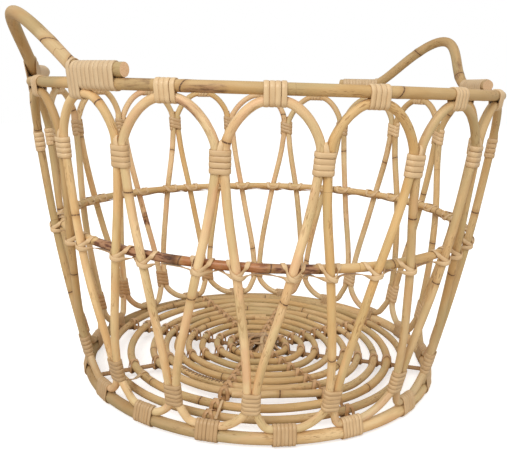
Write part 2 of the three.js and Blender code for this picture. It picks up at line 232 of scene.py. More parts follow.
def addNode(holder, kind, given):  # an output given to it is linked, and the rest are settings
    made = holder.node_tree.nodes.new("ShaderNode" + kind)
    for key, value in given.items():
        if isinstance(value, bpy.types.NodeSocket):
            holder.node_tree.links.new(value, made.inputs[key])
        elif isinstance(key, str) and hasattr(made, key):
            setattr(made, key, value)
        else:
            made.inputs[key].default_value = value
    return made.outputs


def newMaterial(name):
    material = bpy.data.materials.new(name)
    material.use_nodes = True
    material.node_tree.nodes.clear()
    return material


smooth = {"interpolation_type": "SMOOTHSTEP"}


# Each point of a cane or strip says how far along and across it is, its tone (gold, skin left on, shade) and its
# mark: the distance to the nearest joint of a cane, or the place across a strip. The patterns follow from these, each
# with mm along, mm across, detail, roughness and start
def startRattan(name, patterns):
    m = newMaterial(name)
    lay = addNode(m, "Attribute", {"attribute_name": "fibre"})[1]
    tone = addNode(m, "SeparateXYZ", {0: addNode(m, "Attribute", {"attribute_name": "tone"})[1]})
    mark = addNode(m, "Attribute", {"attribute_name": "mark"})[2]
    far = addNode(m, "Math", {"operation": "ABSOLUTE", 0: mark})[0]
    seen = {"gold": tone[0], "skin": tone[1], "shade": tone[2], "far": far}
    for key, (along, across, detail, roughness, start) in patterns.items():
        scale = (1000 / along, 1000 / across, 1000 / across)
        place = addNode(m, "Mapping", {"Location": (start, 0, 0), "Scale": scale, 0: lay})[0]
        seen[key] = addNode(m, "TexNoise", {"Scale": 1.0, "Detail": detail, "Roughness": roughness, 0: place})[0]
    return m, seen


# How much of each colour they give: what it follows, from, to, least, most
def sharesOf(m, seen, shares):
    return {
        key: addNode(m, "MapRange", {**smooth, 1: start, 2: end, 3: least, 4: most, 0: seen[source]})[0]
        for key, (source, start, end, least, most) in shares.items()
    }


# Light and dark fibres and the piece's shade over a colour (its own darker tone, and in places painted shade), a low
# relief, and the shader
def finishRattan(m, base, shade, streak, height, relief, given):
    paler = addNode(m, "Math", {"operation": "SUBTRACT", 0: 1.0, 1: shade})[0]
    streak = addNode(m, "Math", {"operation": "MULTIPLY", 0: streak, 1: paler})[0]
    base = addNode(m, "VectorMath", {"operation": "SCALE", 0: base, 3: streak})[0]
    bump = addNode(m, "Bump", {"Strength": relief, "Distance": 0.00015, "Height": height})[0]
    shader = addNode(m, "BsdfPrincipled", {**given, "Base Color": base, "Normal": bump})[0]
    addNode(m, "OutputMaterial", {0: shader})
    return m


# Peeled rattan cane, scraped and left unvarnished: satin, with long fibres, soft blotches, rosy stretches, brown
# scars and a dark line at each joint of the stem. Skin-on stretches are browner, mottled and glossier.
canes = {
    "colours": {
        "pale": "EFD1A0", "tan": "DAB07A", "rosy": "E9BD90", "olive": "CDB580", "gold": "D8AA62",
        "skin": "B98A66", "skinDark": "6C4028", "skinWarm": "C07C46",
        "scar": "94622E", "joint": "5C3B24", "collar": "C4965F", "dash": "9A6E44",
    },
    "ior": 1.48, "relief": 0.4, "rough": 0.50, "skinRough": 0.34, "fibreRough": 0.12,
    "patterns": {
        "fibre": (30, 0.8, 3, 0.5, 0), "dash": (6, 0.6, 1, 0.5, 0), "blotch": (50, 12, 3, 0.6, 0),
        "scar": (9.0909, 2.38095, 2, 0.6, 0), "group": (71.4286, 16.6667, 1, 0.5, 0),
        "rosy": (38.4615, 14.2857, 2, 0.5, 3.7), "olive": (62.5, 16.6667, 2, 0.5, 9.1),
        "mottle": (11.1111, 2.63158, 3, 0.65, 0),
    },
    "shares": {  # joints and their collars in m
        "tan": ("blotch", 0.38, 0.70, 0, 0.85), "rosy": ("rosy", 0.50, 0.66, 0, 0.75),
        "olive": ("olive", 0.48, 0.64, 0, 0.55), "group": ("group", 0.51, 0.62, 0, 1),
        "dash": ("dash", 0.58, 0.68, 0, 0.5), "scar": ("scar", 0.58, 0.67, 0, 0.55),
        "skinDark": ("mottle", 0.42, 0.58, 0, 1), "skinWarm": ("gold", 0.7, 1.0, 0, 0.7),
        "skin": ("ragged", 0.36, 0.62, 0, 1), "anySkin": ("skin", 0.02, 0.15, 0, 1),
        "line": ("far", 0.00035, 0.0010, 1, 0), "broken": ("dash", 0.3, 0.5, 0.35, 0.95),
        "collar": ("far", 0, 0.006, 0.6, 0), "streak": ("fibre", 0.3, 0.7, 0.955, 1.025),
    },
}


def caneMaterial(name):
    m, seen = startRattan(name, canes["patterns"])
    # the edge of the skin that was left on is ragged
    ragged = addNode(m, "Math", {"operation": "MULTIPLY_ADD", 1: 1.2, 2: -0.6, 0: seen["blotch"]})[0]
    seen["ragged"] = addNode(m, "Math", {"operation": "ADD", 0: ragged, 1: seen["skin"]})[0]
    share = sharesOf(m, seen, canes["shares"])
    # rosy where it isn't golden, dashes that run with the fibre and rarer scars in groups, joints as broken lines
    gold = seen["gold"]
    share["rosy"] = addNode(m, "Math", {"operation": "SUBTRACT", "use_clamp": True, 0: share["rosy"], 1: gold})[0]
    share |= {"gold": gold, "joint": share["line"]}
    for key, other in (("dash", "group"), ("scar", "group"), ("joint", "broken"), ("skin", "anySkin")):
        share[key] = addNode(m, "Math", {"operation": "MULTIPLY", 0: share[key], 1: share[other]})[0]
    paint = {key: colour(value) for key, value in canes["colours"].items()}
    base = addNode(m, "Mix", {"data_type": "RGBA", 6: paint["pale"], 7: paint["tan"], 0: share["tan"]})[2]
    for key in ("rosy", "gold", "olive", "dash", "scar"):
        base = addNode(m, "Mix", {"data_type": "RGBA", 7: paint[key], 0: share[key], 6: base})[2]
    brown = addNode(m, "Mix", {"data_type": "RGBA", 6: paint["skin"], 7: paint["skinDark"], 0: share["skinDark"]})[2]
    brown = addNode(m, "Mix", {"data_type": "RGBA", 7: paint["skinWarm"], 0: share["skinWarm"], 6: brown})[2]
    base = addNode(m, "Mix", {"data_type": "RGBA", 0: share["skin"], 6: base, 7: brown})[2]
    for key in ("collar", "joint"):
        base = addNode(m, "Mix", {"data_type": "RGBA", 7: paint[key], 0: share[key], 6: base})[2]
    gloss = addNode(m, "MapRange", {1: 0.0, 2: 1.0, 3: canes["rough"], 4: canes["skinRough"], 0: share["skin"]})[0]
    rough = addNode(m, "Math", {"operation": "MULTIPLY_ADD", 1: canes["fibreRough"], 0: seen["fibre"], 2: gloss})[0]
    height = addNode(m, "Math", {"operation": "MULTIPLY_ADD", 1: -2.0, 0: share["line"], 2: seen["fibre"]})[0]
    given = {"IOR": canes["ior"], "Roughness": rough}
    return finishRattan(m, base, seen["shade"], share["streak"], height, canes["relief"], given)


# Rattan peel, the outer skin split off in strips: smooth and a little shiny, with faint lines along it and darker
# edges, partly the cut edges' own colour and partly painted shade in the seams between turns
peels = {
    "patterns": {"lines": (40, 0.7, 3, 0.5, 0), "cloud": (22.2222, 6.25, 2, 0.6, 0)},
    "shares": {
        # edge: the strip darkens towards both its edges, partly the cut edge's own colour, partly painted shade of the
        # seams where turns meet
        "tan": ("cloud", 0.35, 0.7, 0, 0.55), "edge": ("far", 0.80, 1.0, 0, 0.5),
        "streak": ("lines", 0.3, 0.7, 0.94, 1.03),
    },
    "ior": 1.5, "relief": 0.35,
}


def peelMaterial(name, pale, tan, edge, rough=0.42):
    m, seen = startRattan(name, peels["patterns"])
    share = sharesOf(m, seen, peels["shares"])
    fac = addNode(m, "Math", {"operation": "ADD", "use_clamp": True, 0: share["tan"], 1: seen["gold"]})[0]
    base = addNode(m, "Mix", {"data_type": "RGBA", 6: colour(pale), 7: colour(tan), 0: fac})[2]
    base = addNode(m, "Mix", {"data_type": "RGBA", 7: colour(edge), 0: share["edge"], 6: base})[2]
    given = {"IOR": peels["ior"], "Roughness": rough}
    return finishRattan(m, base, seen["shade"], share["streak"], seen["lines"], peels["relief"], given)


peeledCane = caneMaterial("peeledRattanCane")
# the third colour of each is its edge: partly the cut edge's own colour, partly painted seam shade
paleTie = peelMaterial("paleRattanPeel", "ECCDA0", "D9B383", "A47A4C")
duskyTie = peelMaterial("handledRattanPeel", "E0C49C", "CDAC82", "A68660")
brownLash = peelMaterial("brownRattanPeel", "DDB484", "C29360", "80552F")
splitCane = peelMaterial("splitRattanCore", "C09A6C", "A87E54", "80603C", 0.6)

# The cut end of a cane: open pores in a pinkish pith, in a plain copy and a paler one. The paler copy is painted light:
# brighter than the pith's own colour, to stand in for light on cut ends that face away from the lamps
pith = {"pore": 0.9, "porous": (0.15, 0.4), "rough": 0.8}  # the pores' size in mm, and how open they are


def pithMaterial(name, pale, pore):
    m = newMaterial(name)
    place = addNode(m, "TexCoord", {})[3]
    pores = addNode(m, "TexVoronoi", {"Scale": 1000 / pith["pore"], 0: place})[0]
    fac = addNode(m, "MapRange", {1: pith["porous"][0], 2: pith["porous"][1], 0: pores})[0]
    base = addNode(m, "Mix", {"data_type": "RGBA", 6: colour(pore), 7: colour(pale), 0: fac})[2]
    shader = addNode(m, "BsdfPrincipled", {"Roughness": pith["rough"], "Base Color": base})[0]
    addNode(m, "OutputMaterial", {0: shader})
    return m


paintedLightPith = pithMaterial("paintedLightRattanPith", "FCD2A4", "DDA878")
dullPith = pithMaterial("plainRattanPith", "D3B18B", "B98D65")
print("materials ready")


# Bending a cane: a curve through its knots, made round, then turned into a mesh whose rings are measured

def putAway():
    bpy.ops.object.select_all(action="DESELECT")


def addLayers(mesh):
    for key, kind in (("fibre", "FLOAT_VECTOR"), ("tone", "FLOAT_VECTOR"), ("mark", "FLOAT")):
        mesh.attributes.new(key, kind, "POINT")


laid = {}  # the middle line of each finished cane
plainJoint = {"turn": 0.0, "slant": 0.0012, "swell": 0.05}  # a joint of the stem, unless it says otherwise
jointReach = 0.0035  # how far along the cane it swells


def bendCane(name, knots, thickness, tone, marks=(), closed=False, steps=5, halfSides=8, waver=0.02, seed=0):
    putAway()
    bpy.ops.curve.primitive_bezier_curve_add(location=(0, 0, 0))
    cane = bpy.context.object
    cane.name = name
    line = cane.data
    line.dimensions = "3D"
    line.resolution_u = steps
    line.bevel_depth = thickness / 2
    line.bevel_resolution = halfSides - 2
    line.use_fill_caps = not closed
    spline = line.splines[0]
    spline.bezier_points.add(len(knots) - 2)
    spline.use_cyclic_u = closed
    for point, place in zip(spline.bezier_points, knots):
        point.co = place
        point.handle_left_type = point.handle_right_type = "AUTO"
    bpy.ops.object.convert(target="MESH")
    cane = bpy.context.object
    cane.name = name
    joints = [{**plainJoint, **mark} for mark in marks]
    measureCane(cane, 0 if closed else 2, 2 * halfSides, thickness, tone, joints, waver, seed)
    cane.data.materials.append(peeledCane)
    bpy.ops.object.shade_smooth_by_angle(angle=radians(50))
    return cane


# Gives each point its distance along the cane and round it, swells the joints and wavers the thickness. The caps
# of an open cane come first in its mesh, the far one and then the near one
def measureCane(cane, caps, sides, thickness, tone, joints, waver, seed):
    mesh = cane.data
    rings = len(mesh.vertices) // sides
    addLayers(mesh)
    fibre, toneAt, mark = (mesh.attributes[key].data for key in ("fibre", "tone", "mark"))
    centres, alongs = [], [0.0] * (caps + 1)
    for ring in range(rings):
        centres.append(sum((mesh.vertices[ring * sides + k].co for k in range(sides)), Vector()) / sides)
        if ring > caps:
            alongs.append(alongs[-1] + (centres[ring] - centres[ring - 1]).length)
    alongs[0] = alongs[-1] if caps else 0.0
    laid[cane.name] = centres[caps:]
    for joint in joints:
        if "azimuth" in joint:
            gaps = [turnFrom(radians(joint["azimuth"]), turnOf(c)) for c in centres]
            ring = min(range(rings), key=lambda r: abs(gaps[r]))
            joint["at"] = alongs[ring] + hypot(centres[ring].x, centres[ring].y) * gaps[ring]
    for ring, (centre, along) in enumerate(zip(centres, alongs)):
        swell = 1 + waver * noise.noise(Vector((along * 22, seed * 7.3, 0.5)))
        for joint in joints:
            swell += joint["swell"] * exp(-((along - joint["at"]) / jointReach) ** 2)
        for k in range(sides):
            angle = fullTurn * k / sides
            index = ring * sides + k
            point = mesh.vertices[index]
            point.co = centre + (point.co - centre) * swell
            beside = (thickness / 2 * cos(angle), thickness / 2 * sin(angle))
            fibre[index].vector = (along + seed * 1.37, *beside)
            gaps = [along - joint["at"] - joint["slant"] * cos(angle - joint["turn"]) for joint in joints]
            mark[index].value = min([1.0, *gaps], key=abs)
            toneAt[index].vector = tone(centre, along) if callable(tone) else tone


# The middle of a finished base ring at an angle
def laidAt(ring, turn):
    line = laid[f"baseRing{ring}"]
    gaps = [turnFrom(turn, turnOf(c)) for c in line]
    k = min(range(len(line)), key=lambda r: abs(gaps[r]))
    other = (k + (1 if gaps[k] > 0 else -1)) % len(line)
    share = abs(gaps[k]) / max(abs(gaps[k]) + abs(gaps[other]), 1e-9)
    return line[k].lerp(line[other], share if share < 0.6 else 0)


# A peel strip: a flat, slightly domed band swept along points that say which way it faces

def newStore():
    return {"verts": [], "faces": [], "fibre": [], "tone": [], "mark": []}


domed = [(-1, 0), (-1, 0.45), (-0.84, 0.84), (0, 1), (0.84, 0.84), (1, 0.45), (1, 0)]


def addStrip(store, line, width, thickness, tone, seed, closed=False, outline=domed, taper=0.0):
    count = len(outline)
    first = len(store["verts"])
    along = (seed * 0.731) % 3
    last = len(line) - 1
    for i, (point, facing) in enumerate(line):
        before = line[(i - 1) % len(line) if closed else max(i - 1, 0)][0]
        after = line[(i + 1) % len(line) if closed else min(i + 1, last)][0]
        ahead = (after - before).normalized()
        across = ahead.cross(facing).normalized()
        face = across.cross(ahead)
        if i:
            along += (point - line[i - 1][0]).length
        narrow = 1 - taper * i / last
        for a, b in outline:
            store["verts"].append(point + across * (a * narrow * width / 2) + face * (b * thickness))
            store["fibre"].append((along, a * width / 2, 0.0))
            store["tone"].append(tone)
            store["mark"].append(a)
    for i in range(len(line) if closed else last):
        for k in range(count):
            after, beside = first + ((i + 1) % len(line)) * count, (k + 1) % count
            store["faces"].append((first + i * count + k, first + i * count + beside, after + beside, after + k))
    if not closed:
        store["faces"].append(tuple(first + k for k in reversed(range(count))))
        store["faces"].append(tuple(first + last * count + k for k in range(count)))


def meshFrom(name, store, material):
    mesh = bpy.data.meshes.new(name)
    mesh.from_pydata([tuple(v) for v in store["verts"]], [], store["faces"])
    addLayers(mesh)
    for key in ("fibre", "tone"):
        mesh.attributes[key].data.foreach_set("vector", [x for v in store[key] for x in v])
    mesh.attributes["mark"].data.foreach_set("value", store["mark"])
    mesh.materials.append(material)
    piece = bpy.data.objects.new(name, mesh)
    bpy.context.scene.collection.objects.link(piece)
    putAway()
    piece.select_set(True)
    bpy.context.view_layer.objects.active = piece
    bpy.ops.object.mode_set(mode="EDIT")
    bpy.ops.mesh.select_all(action="SELECT")
    bpy.ops.mesh.normals_make_consistent(inside=False)
    bpy.ops.object.mode_set(mode="OBJECT")
    bpy.ops.object.shade_smooth_by_angle(angle=radians(50))
    return piece


def smoothLine(points, steps, closed=False):
    made = []
    n = len(points)
    for i in range(n if closed else n - 1):
        near = [(i + k) % n if closed else int(clamped(i + k, 0, n - 1)) for k in (-1, 0, 1, 2)]
        p0, p1, p2, p3 = (points[k] for k in near)
        squared, cubed = 2 * p0 - 5 * p1 + 4 * p2 - p3, 3 * p1 - p0 - 3 * p2 + p3
        for t in (k / steps for k in range(steps)):
            made.append(0.5 * (2 * p1 + (p2 - p0) * t + squared * t * t + cubed * t ** 3))
    return made if closed else made + [points[-1]]


# One turn round two canes, as (x, y) and the way it faces, from the middle of the back. X is out, Y the line of
# centres. A belt is the upper centre and radius and the lower ones
def beltTurn(top, topRadius, low, lowRadius):
    topRadius, lowRadius = topRadius + peel["clear"], lowRadius + peel["clear"]
    turn = []
    for side, centre, radius, start in ((-1, top, topRadius, pi), (1, low, lowRadius, 0)):
        turn.append((side * (topRadius + lowRadius) / 2, (top + low) / 2, side, 0.0))
        for i in range(peel["arcSteps"] + 1):
            angle = start - pi * i / peel["arcSteps"]
            turn.append((radius * cos(angle), centre + radius * sin(angle), cos(angle), sin(angle)))
    return turn


def windPeel(store, place, belt, count, seed, tone=(0, 0, 0), pitch=peel["pitch"], width=peel["width"], floor=None):
    rng = random.Random(seed)
    turn = beltTurn(*belt)
    middle = (belt[0] + belt[2]) / 2
    line = []
    lean = rng.uniform(-peel["lean"], peel["lean"])
    for k in range(count):
        slack = rng.uniform(0, peel["slack"])
        drift = rng.uniform(-peel["drift"], peel["drift"])
        for i, (x, y, nx, ny) in enumerate(turn):
            t = i / len(turn)
            # the strip starts and ends at the back, and climbs to the next turn there
            if (k == 0 and t < 0.12) or (k == count - 1 and t > 0.88):
                continue
            step = eased(clamped(0.5 + (t if t < 0.5 else t - 1) / 0.3))
            climb = (k + (step - 0.5 if t < 0.5 else step + 0.5) - count / 2) * pitch
            climb = climb + drift * sin(pi * t) + lean * (y - middle) * (nx > 0)
            point = place @ Vector((x + nx * slack, y + ny * slack, climb))
            if floor is not None:
                point.z = max(point.z, floor + peel["thickness"] * 0.9)
            line.append((point, place.to_3x3() @ Vector((nx, ny, 0))))
    shade = rng.uniform(0.0, 0.06)
    addStrip(store, line, width, peel["thickness"], (tone[0] + rng.uniform(0, 0.3), tone[1], tone[2] + shade), seed)


def acrossWall(z, angle, shift):
    rise = (onWall(shift, z + 0.005, angle) - onWall(shift, z - 0.005, angle)).normalized()
    centre = onWall(shift, z, angle)
    out = Vector((-centre.y, centre.x, 0)).cross(rise).normalized()
    place = Matrix((out, rise.cross(out), rise)).transposed().to_4x4()
    place.translation = centre
    return place


def acrossHoop(radius, z, angle):
    out = outAt(angle)
    place = Matrix((out, up, -up.cross(out))).transposed().to_4x4()
    place.translation = onHoop(radius, z, angle) - up * z
    return place


def showPith(cane, material):
    cane.data.materials.append(material)
    for face in cane.data.polygons:
        if len(face.vertices) == 3:  # only the caps have triangles
            face.material_index = 1


def finished(piece, slotName, *nodes):
    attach(piece, "root")
    if nodes:
        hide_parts(*nodes)


def joinTo(piece, other):
    putAway()
    other.select_set(True)
    piece.select_set(True)
    bpy.context.view_layer.objects.active = piece
    bpy.ops.object.join()
    return piece


# Wall canes, each with the tie at its waist, and the ties of their shoulders. By arch; a tone is gold, skin, shade
wall = {
    "joints": {  # of the stems, in mm from the left foot
        0: (128, 202, 444), 1: (240, 447), 2: (78, 352), 3: (300, 611), 4: (99, 430), 5: (250, 559), 7: (300, 583),
        9: (113, 290, 557), 10: (217, 371), 11: (253, 553), 12: (303, 549), 13: (106, 420), 14: (247, 559),
        15: (171, 485),
    },
    "firstJoint": (0.05, 0.2), "nextJoint": (0.16, 0.30), "length": 0.68,  # m, on the other canes
    "slant": (0.0003, 0.0016), "scarFade": 0.006,
    "scarred": {  # from, to (m from the left foot), skin left on
        11: (0.364, 0.432, 0.42), 13: (0.312, 0.352, 0.36), 14: (0.315, 0.35, 0.36), 5: (0.553, 0.568, 0.95),
    },
    "gold": {
        13: 0.55, 4: 0.5, 9: 0.5, 8: 0.4, 10: 0.25, 11: -0.12, 12: -0.16, 14: 0.25, 15: 0.4, 16: 0.5, 17: 0.4, 0: 0.4,
        5: -0.4, 3: -0.3,
    },
    # shade by arch: darker on the arches at the far left and right as seen, paler on the front and back ones; partly
    # the canes' own tone, partly painted shade where the round wall turns away from the light
    "shade": {
        8: 0.19, 9: 0.2, 10: -0.1, 11: -0.09, 12: -0.1, 13: -0.05, 14: 0.08, 15: 0.08, 16: 0.09, 17: 0.1, 0: 0.1,
        3: -0.06, 4: -0.07, 5: -0.07, 6: -0.05,
    },
    "lowShade": 0.05, "highShade": 0.08,  # more of it below and above
    "lowFrom": 0.14, "lowOver": 0.12, "highFrom": 0.22, "highOver": 0.06,  # heights, m
    "frontTie": (0.1, 0, 0), "backTie": (0.6, 0, 0.1), "shoulderTies": {
        11: (0.45, 0, 0.03), 10: (0.3, 0, 0.03), 15: (0.3, 0, 0.02),
    },
    "waistTie": (0.25, 0, 0.0), "waistTies": {
        9: (0.5, 0, 0.16), 10: (0.5, 0, 0.16), 11: (0.5, 0, 0.14), 12: (0.1, 0, 0.02), 13: (0.3, 0, 0.04),
        14: (0.3, 0, 0.04), 15: (0.3, 0, 0.04),
    },
    # a shoulder tie's end: out, up, and how far aside each knot goes
    "tongue": ((0.0030, -0.003), (0.0036, 0.001), (0.0030, 0.0045), (0.0010, 0.007)), "tongueAside": 0.0006,
}


def wallTone(gold, shade, scarred):
    start, end, skin = scarred

    def toneAt(centre, along):
        low = clamped((wall["lowFrom"] - centre.z) / wall["lowOver"])
        high = clamped((centre.z - wall["highFrom"]) / wall["highOver"])
        inside = within(along, start, end, wall["scarFade"])
        return (gold * (1 - low), skin * inside, shade + wall["lowShade"] * low + wall["highShade"] * high)

    return toneAt


half = wallHalf()
legPair = (pairOffset, wallCane / 2, -pairOffset, wallCane / 2)
caneTone = random.Random(11)
for i in arches:
    number = f"{i + 1:02d}"
    gold = wall["gold"].get(i, caneTone.uniform(0.0, 0.5) ** 1.8)
    shade = wall["shade"].get(i, caneTone.uniform(0.0, 0.05))
    at = caneTone.uniform(*wall["firstJoint"])
    spots = []
    while at < wall["length"]:
        spots.append(at)
        at += caneTone.uniform(*wall["nextJoint"])
    spots = [mm / 1000 for mm in wall["joints"][i]] if i in wall["joints"] else spots
    marks = [{"at": at, "turn": caneTone.uniform(0, 6.28), "slant": caneTone.uniform(*wall["slant"])} for at in spots]
    tone = wallTone(gold, shade, wall["scarred"].get(i, (0, 0, 0)))
    cane = bendCane(f"wallCane{number}", archKnots(i), wallCane + seat, tone, marks, seed=i)
    store = newStore()
    high = basket["waistHeight"] + bent("waistRise", i)
    place = acrossWall(high, 2 * halfPitch * i, bent("waist", i))
    windPeel(store, place, legPair, turns["waist"], 100 + i, wall["waistTies"].get(i, wall["waistTie"]))
    cane = joinTo(cane, meshFrom(f"waistTie{number}", store, brownLash if 2 < i < 9 else paleTie))
    finished(cane, "wall_cane", f"wall_cane_{number}")
print("wall canes bent")

for i in arches:
    store = newStore()
    number = f"{i + 1:02d}"
    high = basket["shoulderHeight"] + bent("shoulderRise", i)
    place = acrossWall(high, halfPitch * (2 * i + 1), bent("shoulder", i))
    tone = wall["backTie"] if 0 < i < 7 else wall["shoulderTies"].get(i, wall["frontTie"])
    windPeel(store, place, legPair, turns["shoulder"], 200 + i, tone)
    # the strip's end, tucked down between the two arches
    high = turns["shoulder"] * peel["pitch"] / 2
    facing = place.to_3x3() @ Vector((1, 0, 0.25))
    aside = (1 if i % 2 else -1) * wall["tongueAside"]
    line = [(place @ Vector((x, aside * n, high + z)), facing) for n, (x, z) in enumerate(wall["tongue"])]
    addStrip(store, line, peel["width"] * 1.1, peel["thickness"], wall["frontTie"], i, taper=0.3)
    finished(meshFrom(f"shoulderTie{number}", store, paleTie), "peel", f"shoulder_tie_{number}")
print("shoulders tied")


def bendHoop(name, radius, z, thickness, tone, marks, count=72, stray=onHoop, waver=0.02):
    knots = [stray(radius, z, fullTurn * k / count) for k in range(count)]
    return bendCane(name, knots, thickness, tone, marks, closed=True, steps=3, waver=waver)


# Top rim: one thick cane, browner and greyer in places, with its plain ties. Angles in degrees
rimPart = {
    "joints": (-135.2, -96.5, -35.0, 22.0, 78.0, 140.0), "gold": 0.5, "shade": 0.12,
    "parts": (  # from, to, skin left on, shade
        (-176, -165, 0.0, 0.14), (-148.5, -141, 0.5, 0.22), (-137, -128, 0.34, 0.11), (-128, -113, 0.12, 0.09),
        (-113, -96.5, 0.12, 0.03), (-96.5, -60, 0.05, 0.08),
    ),
}


def rimTone(centre, along):
    turn = degrees(turnOf(centre))
    skin = shade = 0.0
    for start, end, someSkin, someShade in rimPart["parts"]:
        inside = within(turn, start, end, 1.5)
        skin, shade = skin + inside * someSkin, shade + inside * someShade
    return (rimPart["gold"], skin, rimPart["shade"] + shade)


marks = [{"azimuth": turn, "slant": 0.003, "turn": 0.5 + n, "swell": 0.04} for n, turn in enumerate(rimPart["joints"])]
rimCane = bendHoop("rimCane", rimRadius, rimHeight, basket["rimCane"], rimTone, marks)
rimPair = (rimHeight, basket["rimCane"] / 2, topZ, wallCane / 2)
store = newStore()
# the handles are bound on these instead
boundArches = (1, basket["archCount"] // 2 - 1, basket["archCount"] // 2 + 1, basket["archCount"] - 1)
for i in arches:
    if i not in boundArches:
        angle = 2 * halfPitch * i + bent("apex", i) / rimRadius
        place = acrossHoop(rimRadius, rimHeight, angle)
        windPeel(store, place, rimPair, turns["rim"], 300 + i, pitch=peel["rimPitch"], width=peel["rimWidth"])
rimCane = joinTo(rimCane, meshFrom("rimTies", store, paleTie))
finished(rimCane, "rim", "rim")
print("rim tied")

# Base rim with the ties round the butting feet of the wall canes. Angles in degrees
basePart = {
    "joints": (-70, 10, 95, 160), "brownAt": 148,  # browner away to the left in the photograph
    "tie": (0.5, 0, 0.1), "ties": {
        8: (0.6, 0, 0.16), 9: (0.6, 0, 0.18), 10: (0.6, 0, 0.17), 11: (0.6, 0, 0.15), 12: (0.5, 0, 0.08),
        13: (0.1, 0, -0.02), 14: (0.1, 0, 0.0), 15: (0.3, 0, 0.05),
    },
}


def baseTone(centre, along):
    left = clamped(0.5 - cos(turnOf(centre) + radians(180 - basePart["brownAt"])))
    return (0.15 + 0.3 * left, 0.0, 0.42 * left - 0.04)


marks = [{"azimuth": turn} for turn in basePart["joints"]]
baseCane = bendHoop("baseCane", baseRadius, footZ, basket["baseCane"], baseTone, marks, 60)
basePair = (bottomZ, wallCane / 2, footZ, basket["baseCane"] / 2)
store = newStore()
for i in arches:
    angle = halfPitch * (2 * i + 1) + wallTwist(bottomZ) + bent("foot", i) / baseRadius
    place = acrossHoop(baseRadius, footZ, angle)
    tone = basePart["ties"].get(i, basePart["tie"])
    windPeel(store, place, basePair, turns["base"], 400 + i, tone, peel["basePitch"], peel["baseWidth"], floor=0.0)
baseCane = joinTo(baseCane, meshFrom("baseTies", store, paleTie))
finished(baseCane, "base_rim", "base_rim")
print("base rim tied")

# Hoop inside the legs: still in its brown skin for about a sixth of the way round. Angles in degrees
midHoop = {
    "joints": (-138.8, -119.0, -108.5, -90.0, -60.0, -20.0, 30.0, 75.0, 120.0, 165.0),
    "darkFrom": -166.0, "darkTo": -106.0, "fade": 5.0, "black": -140.4, "blackSpread": 1.4,
}
midRadius = wallRadius(basket["midHeight"]) - wallCane / 2 - basket["midCane"] / 2 - seat


def onMid(radius, z, turn):
    return outAt(turn, radius + outOfRound(turn, z), z + strayed("midRise", turn))


def midTone(centre, along):
    turn = degrees(turnOf(centre))
    inside = min(turn - midHoop["darkFrom"], midHoop["darkTo"] - turn) / midHoop["fade"]
    black = exp(-((turn - midHoop["black"]) / midHoop["blackSpread"]) ** 2)
    gold, further = 0.35, 0.0
    if turn > midHoop["black"] and inside > 0:  # warm, and less so towards the end
        further = clamped((turn - midHoop["black"]) / (midHoop["darkTo"] - midHoop["black"]))
        gold = 0.98 - 0.5 * clamped((further - 0.5) * 3)
    return (gold, clamped(inside), 0.03 + 0.72 * black + 0.1 * further)


marks = [{"azimuth": turn, "slant": 0.001, "turn": 1.0 + n} for n, turn in enumerate(midHoop["joints"])]
midCane = bendHoop("midHoop", midRadius, basket["midHeight"], basket["midCane"], midTone, marks, 72, onMid, 0.05)


# The legs where they cross the middle hoop: angle and sideways slope
def legCrossings():
    found = []
    for i in arches:
        line = laid[f"wallCane{i + 1:02d}"]
        for before, after in zip(line, line[1:]):
            turn = turnOf(before)
            level = basket["midHeight"] + strayed("midRise", turn)
            if (before.z - level) * (after.z - level) <= 0:
                spot = before.lerp(after, (level - before.z) / (after.z - before.z))
                low, high = sorted((before, after), key=lambda p: p.z)
                slope = (high - low).dot(up.cross(outAt(turn))) / (high.z - low.z)
                found.append((turnOf(spot) % fullTurn, slope))
    return sorted(found)


# One long strip that goes from leg to leg under the hoop and crosses over itself on each leg. In mm: right as seen
# from outside, out from the hoop's middle, up
lash = {
    "width": 0.0043, "thickness": 0.0009, "tone": (0.15, 0, 0.02),
    "route": (
        (-9, 4.5, -5.6), (-3.6, 11, -6), (0, 12.6, -5.6), (3.8, 11, -3.5), (6.5, 6.8, -0.5), (8.5, 4.4, 2),
        (9.5, 1.5, 4.4), (9.5, -2, 3.6), (6, -5, -1), (0, -5.2, -2.5), (-6, -4.8, -1), (-7.5, -1.5, 4.2),
        (-7, 2.5, 4), (-5.2, 6.5, 1.5), (-4.3, 9.8, -1.5), (-2.5, 12.6, -4.0), (0.8, 13.6, -5.8), (4, 11.4, -7),
        (7, 6.5, -6.6), (12, 1.5, -5.4),
    ),
    "between": (30.0, -0.5, -4.7), "loose": 0.4,  # where it hangs between two legs, and how unevenly
    "legFrom": 4.0, "legOver": 4.0,  # where the strip leaves the hoop for the leg
    "mirroredFrom": 255.0, "mirroredTo": 75.0,  # degrees, the part that was wound the other way
}


